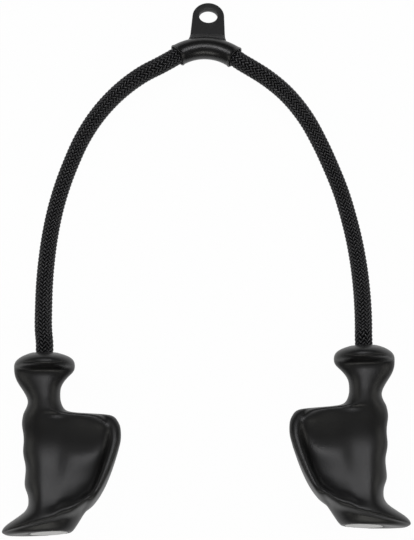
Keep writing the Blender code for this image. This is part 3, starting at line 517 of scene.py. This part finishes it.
class Rope:
    """The whole rope's middle line, with a ring each 0.74 mm to lay the strands on."""

    def __init__(self):
        left = free_route(LEFT_MOUTH, LEFT_MOUTH_WAY, LEFT_ROUTE_MM, LEFT_GRIP, LEFT_GRIP_WAY)
        right = free_route(RIGHT_MOUTH, RIGHT_MOUTH_WAY, RIGHT_ROUTE_MM, RIGHT_GRIP, RIGHT_GRIP_WAY)
        turns = [SADDLE_HALF_ANGLE * (2 * k / SADDLE_STEPS - 1) for k in range(1, SADDLE_STEPS)]
        saddle = [BRACKET @ saddle_place(turn) for turn in turns]
        line = [LEFT_GRIP + LEFT_GRIP_WAY * TAIL_LENGTH] + left[::-1] + saddle
        line += right + [RIGHT_GRIP + RIGHT_GRIP_WAY * TAIL_LENGTH]
        along = length_along(line)
        count = int(along[-1] / RING_STEP)
        self.along = np.linspace(0, along[-1], count + 1)
        self.points = np.stack(
            [np.interp(self.along, along, np.array(line)[:, axis]) for axis in range(3)], axis=1
        )
        self.first, self.second = carried_frames(self.points)
        self.free = {"left": length_along(left)[-1], "right": length_along(right)[-1]}
        self.mouth = {
            "left": TAIL_LENGTH + self.free["left"],
            "right": along[-1] - TAIL_LENGTH - self.free["right"],
        }
        self.radius = self.radii()

    def radii(self):
        """The rope's radius at each ring: each free side is drawn thinner in its middle."""
        radius = np.full(len(self.along), ROPE_RADIUS)
        for side, way in (("left", -1), ("right", 1)):
            share = (self.along - self.mouth[side]) * way / self.free[side]
            free = (share > 0) & (share < 1)
            waist = np.sin(np.pi * np.clip(share, 0, 1)) ** 2
            radius[free] *= 1 - (1 - WAIST_SHARE) * waist[free]
        return radius

    def ring(self, side, distance):
        """The ring nearest to a distance from one side's saddle mouth, outwards."""
        way = -1 if side == "left" else 1
        return int(np.argmin(np.abs(self.along - (self.mouth[side] + way * distance))))

    def place(self, side, distance):
        """The middle line's point at a distance from one side's saddle mouth, outwards."""
        return Vector(self.points[self.ring(side, distance)])


def strand_rings(rope, rings, strand, way, sides):
    """One strand's rings of vertices, and how high the weave lifts it at each, from 0 to 1."""
    along = rope.along[rings]
    angle = 2 * np.pi * (strand / STRANDS_EACH_WAY + way * along / BRAID_LEAD)
    crossing = angle * STRANDS_EACH_WAY / np.pi
    wave = WEAVE_STEEPNESS * np.cos(np.pi / 2 * (crossing - 0.5))
    over = way * np.tanh(wave) / np.tanh(WEAVE_STEEPNESS)
    out = rope.first[rings] * np.cos(angle)[:, None] + rope.second[rings] * np.sin(angle)[:, None]
    scale = rope.radius[rings] / ROPE_RADIUS
    radius = rope.radius[rings] * (STRAND_MIDDLE_SHARE + STRAND_WAVE_SHARE * over)
    middle = rope.points[rings] + out * radius[:, None]
    ways = np.gradient(middle, axis=0)
    ways /= np.linalg.norm(ways, axis=1)[:, None]
    flat = np.cross(ways, out)
    flat /= np.linalg.norm(flat, axis=1)[:, None]
    up = np.cross(flat, ways)
    vertices = []
    for k in range(sides):
        turn = 2 * np.pi * (k + 0.5) / sides
        wide = flat * (STRAND_HALF_WIDTH * math.cos(turn))
        thick = up * (STRAND_HALF_THICKNESS * math.sin(turn))
        vertices.append(middle + (wide + thick) * scale[:, None])
    return np.stack(vertices, axis=1), (over + 1) / 2


def core_rings(rope, rings):
    """The rings of vertices of the rope's core, which the weave never lifts."""
    radius = rope.radius[rings] * CORE_SHARE
    vertices = []
    for k in range(CORE_SIDES):
        turn = 2 * np.pi * k / CORE_SIDES
        out = rope.first[rings] * np.cos(turn) + rope.second[rings] * np.sin(turn)
        vertices.append(rope.points[rings] + out * radius[:, None])
    return np.stack(vertices, axis=1), np.zeros(len(rings))


def tubes_mesh(name, tubes, materials):
    """One mesh of closed tubes: each is ((rings of vertices, height of each), material number).

    Its UV map "strand" runs along and round each tube in metres, and "crown" holds the height.
    """
    vertices, faces, numbers, places, crowns = [], [], [], [], []
    for (rings, crown), number in tubes:
        count, sides = rings.shape[:2]
        base = sum(len(v) for v in vertices)
        vertices.append(rings.reshape(-1, 3))
        width = np.linalg.norm(rings[0, 1] - rings[0, 0])
        for k in range(count - 1):
            for s in range(sides):
                t = (s + 1) % sides
                a = base + k * sides
                faces.append((a + s, a + t, a + sides + t, a + sides + s))
                near, far = k * RING_STEP, (k + 1) * RING_STEP
                low, high = s * width, (s + 1) * width
                places += [(near, low), (near, high), (far, high), (far, low)]
                crowns += [(crown[k], 0), (crown[k], 0), (crown[k + 1], 0), (crown[k + 1], 0)]
        faces.append(tuple(base + s for s in range(sides))[::-1])
        faces.append(tuple(base + (count - 1) * sides + s for s in range(sides)))
        places += [(0, 0)] * sides * 2
        crowns += [(0, 0)] * sides * 2
        numbers += [number] * ((count - 1) * sides + 2)
    mesh = bpy.data.meshes.new(name)
    mesh.from_pydata(np.concatenate(vertices).tolist(), [], faces)
    for layer, values in (("strand", places), ("crown", crowns)):
        mesh.uv_layers.new(name=layer)
        mesh.uv_layers[layer].data.foreach_set("uv", np.array(values, float).ravel())
    for material in materials:
        mesh.materials.append(material)
    mesh.polygons.foreach_set("material_index", numbers)
    mesh.polygons.foreach_set("use_smooth", [True] * len(faces))
    mesh.validate()
    mesh.update()
    piece = bpy.data.objects.new(name, mesh)
    bpy.context.scene.collection.objects.link(piece)
    return piece


def braided_length(rope, name, start, end, step=1, sides=STRAND_SIDES):
    """A length of the braided rope between two rings."""
    rings = np.arange(start, end + 1, step)
    tubes = [(core_rings(rope, rings), 1)]
    for strand in range(STRANDS_EACH_WAY):
        for way in (1, -1):
            tubes.append((strand_rings(rope, rings, strand, way, sides), 0))
    return tubes_mesh(name, tubes, (POLYESTER, CORE_SHADE))


def cord_path(rope, start, end):
    """Points of the middle line between two rings, about 5 mm apart."""
    way = 1 if end > start else -1
    rings = list(range(start, end, way * CORD_POINT_RINGS))
    if (end - rings[-1]) * way < CORD_LAST_RINGS:
        rings.pop()
    return [tuple(rope.points[k]) for k in rings + [end]]


def free_length(rope, side, name, start, end, bend, nodes):
    """A free length of rope, baked in place: its bend places and cord path are looked up but not
    used.
    """
    first, last = rope.ring(side, start), rope.ring(side, end)
    piece = braided_length(rope, f"{side}_{name}", min(first, last), max(first, last))
    rope.place(side, bend[0])
    rope.place(side, bend[1])
    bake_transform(piece)
    if nodes:
        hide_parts(*nodes)
    cord_path(rope, first, last)


def make_rope():
    """The rope in its lengths: through the saddle, three free ones a side, and the grips' tails."""
    rope = Rope()
    left_mouth, right_mouth = rope.ring("left", 0), rope.ring("right", 0)
    piece = braided_length(rope, "rope_through_saddle", left_mouth, right_mouth)
    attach(piece, "bracket")
    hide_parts("rope_in_saddle")
    for side in ("left", "right"):
        free = rope.free[side]
        free_length(
            rope, side, "rope_by_saddle", 0, NEAR_END, NEAR_BEND,
            [f"{side}_rope_upper"],
        )
        free_length(
            rope, side, "rope_middle", NEAR_END, MIDDLE_END, MIDDLE_BEND,
            [],
        )
        free_length(
            rope, side, "rope_by_grip", MIDDLE_END, free + INTO_GRIP,
            (free + FAR_BEND_START, free + FAR_BEND_STOP),
            [f"{side}_rope_lower"],
        )
        inner, outer = rope.ring(side, free + INTO_GRIP), rope.ring(side, free + TAIL_LENGTH)
        tail = braided_length(
            rope, f"{side}_rope_in_grip", min(inner, outer), max(inner, outer),
            step=HIDDEN_RING_STEPS, sides=HIDDEN_STRAND_SIDES,
        )
        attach(tail, f"{side}_end")
        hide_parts(f"{side}_rope_tail")


# ---------------------------------------------------------------- bracket


def make_saddle_tube():
    """The bent tube that the rope runs through: a ring spun round the bend, with opened lips."""
    deselect()
    bpy.ops.mesh.primitive_circle_add(
        vertices=TUBE_SIDES, radius=TUBE_RADIUS, location=saddle_place(-SADDLE_HALF_ANGLE),
        rotation=(0, math.pi / 2, SADDLE_HALF_ANGLE),
    )
    piece = bpy.context.object
    piece.name = "saddle_tube_coated"
    settle(piece)
    bpy.ops.object.mode_set(mode="EDIT")
    bpy.ops.mesh.select_all(action="SELECT")
    bpy.ops.mesh.spin(
        steps=TUBE_STEPS, angle=2 * SADDLE_HALF_ANGLE, center=(0, -SADDLE_RADIUS, 0),
        axis=(0, 0, 1),
    )
    bpy.ops.mesh.select_all(action="SELECT")
    bpy.ops.mesh.remove_doubles(threshold=MERGE_DISTANCE)
    bpy.ops.mesh.normals_make_consistent(inside=False)
    bpy.ops.object.mode_set(mode="OBJECT")
    for vertex in piece.data.vertices:
        turn = math.atan2(vertex.co.x, vertex.co.y + SADDLE_RADIUS)
        near = 1 - (SADDLE_HALF_ANGLE - abs(turn)) * SADDLE_RADIUS / LIP_LENGTH
        if near > 0:
            middle = saddle_place(turn)
            grow = 1 + (LIP_RADIUS / TUBE_RADIUS - 1) * near * near
            vertex.co = middle + (vertex.co - middle) * grow
    apply_modifier(piece, "SOLIDIFY", {"thickness": TUBE_WALL, "offset": -1.0})
    apply_modifier(
        piece, "BEVEL", {"width": 0.45 * MM, "segments": 3, "limit_method": "ANGLE",
                         "angle_limit": math.radians(50)},
    )
    settle(piece, BRACKET)
    smooth(piece, 40)
    dress(piece, TUBE_COAT, "bracket", ["saddle_tube"])


def make_lug():
    """The flat lug with its eye, with the rounded edges that the coating leaves."""
    piece = finer_copy("lug_plate", "lug_coated")
    smooth(piece, 35)
    dress(piece, LUG_COAT_PAINTED_LIGHTER, "bracket", ["lug_plate"])


def make_weld():
    """The weld bead between lug and tube: a little shorter, and softened by the coating."""
    piece = finer_copy("lug_weld", "weld_coated")
    apply_modifier(
        piece, "REMESH", {"mode": "VOXEL", "voxel_size": WELD_VOXEL, "use_smooth_shade": True}
    )
    upright = BRACKET.inverted()
    for vertex in piece.data.vertices:
        place = upright @ vertex.co
        place.x *= WELD_LENGTH_SHARE
        vertex.co = BRACKET @ place
    apply_modifier(piece, "SMOOTH", {"factor": 0.5, "iterations": WELD_SMOOTHINGS})
    dress(piece, LUG_COAT_PAINTED_LIGHTER, "bracket", ["lug_weld"])


# ---------------------------------------------------------------- grips


def make_grip(side):
    """The moulded grip: the solid's skin, made fine and eased as rubber comes from its mould."""
    piece = finer_copy(f"{side}_grip", f"{side}_grip_moulded", 0)
    bpy.ops.object.mode_set(mode="EDIT")
    bpy.ops.mesh.select_all(action="SELECT")
    bpy.ops.mesh.tris_convert_to_quads(
        face_threshold=math.radians(50), shape_threshold=math.radians(60)
    )
    bpy.ops.object.mode_set(mode="OBJECT")
    apply_modifier(piece, "SUBSURF", {"levels": 2, "render_levels": 2})
    apply_modifier(
        piece, "REMESH", {"mode": "VOXEL", "voxel_size": GRIP_VOXEL, "use_smooth_shade": True}
    )
    apply_modifier(piece, "SMOOTH", {"factor": 0.5, "iterations": GRIP_SMOOTHINGS})
    apply_modifier(piece, "DISPLACE", {"strength": GRIP_SWELL, "mid_level": 0.0})
    dress(piece, RUBBER, f"{side}_handle", [f"{side}_grip"])


def make_disc(side, base, way):
    """The bare pale disc on the base: a turned edge and a shallow dished face."""
    deselect()
    bpy.ops.mesh.primitive_cylinder_add(vertices=128, radius=DISC_RADIUS, depth=DISC_THICKNESS)
    piece = bpy.context.object
    piece.name = f"{side}_disc_bare"
    select_faces(piece, lambda face: face.normal.z > 0.9)
    for thickness, depth in DISC_INSETS:
        bpy.ops.mesh.inset(thickness=thickness, depth=depth)
    bpy.ops.object.mode_set(mode="OBJECT")
    apply_modifier(
        piece, "BEVEL", {"width": 0.22 * MM, "segments": 3, "limit_method": "ANGLE",
                         "angle_limit": math.radians(25)},
    )
    turn = Vector((0, 0, 1)).rotation_difference(way).to_matrix().to_4x4()
    settle(piece, Matrix.Translation(base - way * (DISC_THICKNESS / 2)) @ turn)
    smooth(piece, 35)
    dress(piece, DISC, f"{side}_handle", [f"{side}_badge"])


def finish_hidden_parts(side):
    """The sleeve, washer and plug inside the grip keep their solids and get their finish."""
    for node, material in (("sleeve", ZINC), ("washer", ZINC), ("end_plug", NYLON)):
        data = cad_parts[f"{side}_{node}"].data
        data.materials.clear()
        data.materials.append(material)


# ---------------------------------------------------------------- floor, light and camera


def make_floor():
    """A plain pale floor: the camera sees it near white, and it keeps the object's shadow."""
    deselect()
    bpy.ops.mesh.primitive_plane_add(size=FLOOR_SIZE, location=(0, 0, 0))
    floor = bpy.context.object
    floor.name = "floor"
    material, tree, surface = new_material("pale_floor", "#f2f2f2", {"Roughness": 0.9})
    surface.inputs["Specular IOR Level"].default_value = 0.1
    rays = add_node(tree, "ShaderNodeLightPath")
    seen = add_node(tree, "ShaderNodeMath", {"operation": "MAXIMUM"})
    tree.links.new(rays.outputs["Is Camera Ray"], seen.inputs[0])
    tree.links.new(rays.outputs["Is Glossy Ray"], seen.inputs[1])
    share = add_node(tree, "ShaderNodeMath", {"operation": "MULTIPLY"})
    tree.links.new(seen.outputs[0], share.inputs[0])
    share.inputs[1].default_value = FLOOR_GLOW_SHARE
    white = add_node(tree, "ShaderNodeEmission", {"Strength": 1.0})
    mix = add_node(tree, "ShaderNodeMixShader", {}, {"Fac": share.outputs[0]})
    tree.links.new(surface.outputs["BSDF"], mix.inputs[1])
    tree.links.new(white.outputs["Emission"], mix.inputs[2])
    tree.links.new(mix.outputs["Shader"], tree.nodes["Material Output"].inputs["Surface"])
    floor.data.materials.append(material)


def add_lamp(name, place, size, watts, colour):
    """A soft box that faces the object."""
    lamp = bpy.data.lights.new(name, "AREA")
    lamp.shape = "RECTANGLE"
    lamp.size, lamp.size_y = size
    lamp.energy = watts
    lamp.color = colour
    holder = bpy.data.objects.new(name, lamp)
    holder.location = place
    holder.rotation_euler = (Vector((0, 0, 0)) - Vector(place)).to_track_quat("-Z", "Y").to_euler()
    bpy.context.scene.collection.objects.link(holder)


def make_light():
    """Soft studio light: two boxes beyond the lug, a long one in front and a low one each side."""
    world = bpy.data.worlds.new("studio")
    world.use_nodes = True
    world.node_tree.nodes["Background"].inputs["Color"].default_value = (1, 1, 1, 1)
    world.node_tree.nodes["Background"].inputs["Strength"].default_value = WORLD_STRENGTH
    bpy.context.scene.world = world
    for name, place, size, watts, colour in LAMPS:
        add_lamp(name, place, size, watts, colour)


def make_camera():
    """The camera straight above the rope, with the photograph's frame."""
    data = bpy.data.cameras.new("camera")
    data.sensor_fit = "VERTICAL"
    data.sensor_height = SENSOR_HEIGHT
    data.lens = SENSOR_HEIGHT * CAMERA_VIEW_DISTANCE / CAMERA_VIEW_HEIGHT
    data.clip_end = CAMERA_FAR
    camera = bpy.data.objects.new("camera", data)
    camera.location = CAMERA_PLACE
    bpy.context.scene.collection.objects.link(camera)
    bpy.context.scene.camera = camera


# ---------------------------------------------------------------- the whole object

bpy.context.scene.view_settings.view_transform = "Standard"
make_camera()

TUBE_COAT = powder_coated_steel("powder_coated_tube", "#0b0b0c", "#121213", 0.26, 0.38)
# The plate's coat is the tube's black powder coat painted lighter grey, as painted light for the
# light its flat face catches; the weld shares it
LUG_COAT_PAINTED_LIGHTER = powder_coated_steel("powder_coated_plate_painted_lighter", "#202021", "#2a2a2b", 0.42, 0.55)
POLYESTER = braided_polyester()
CORE_SHADE = rope_core_painted_shade()
RUBBER = moulded_rubber()
DISC = disc_plastic()
NYLON = plug_plastic()
ZINC = zinc_plated_steel()

make_rope()
make_saddle_tube()
make_lug()
make_weld()
for hand in ("left", "right"):
    make_grip(hand)
    finish_hidden_parts(hand)
make_disc("left", LEFT_BASE, LEFT_BASE_WAY)
make_disc("right", RIGHT_BASE, RIGHT_BASE_WAY)
make_floor()
make_light()

deselect()
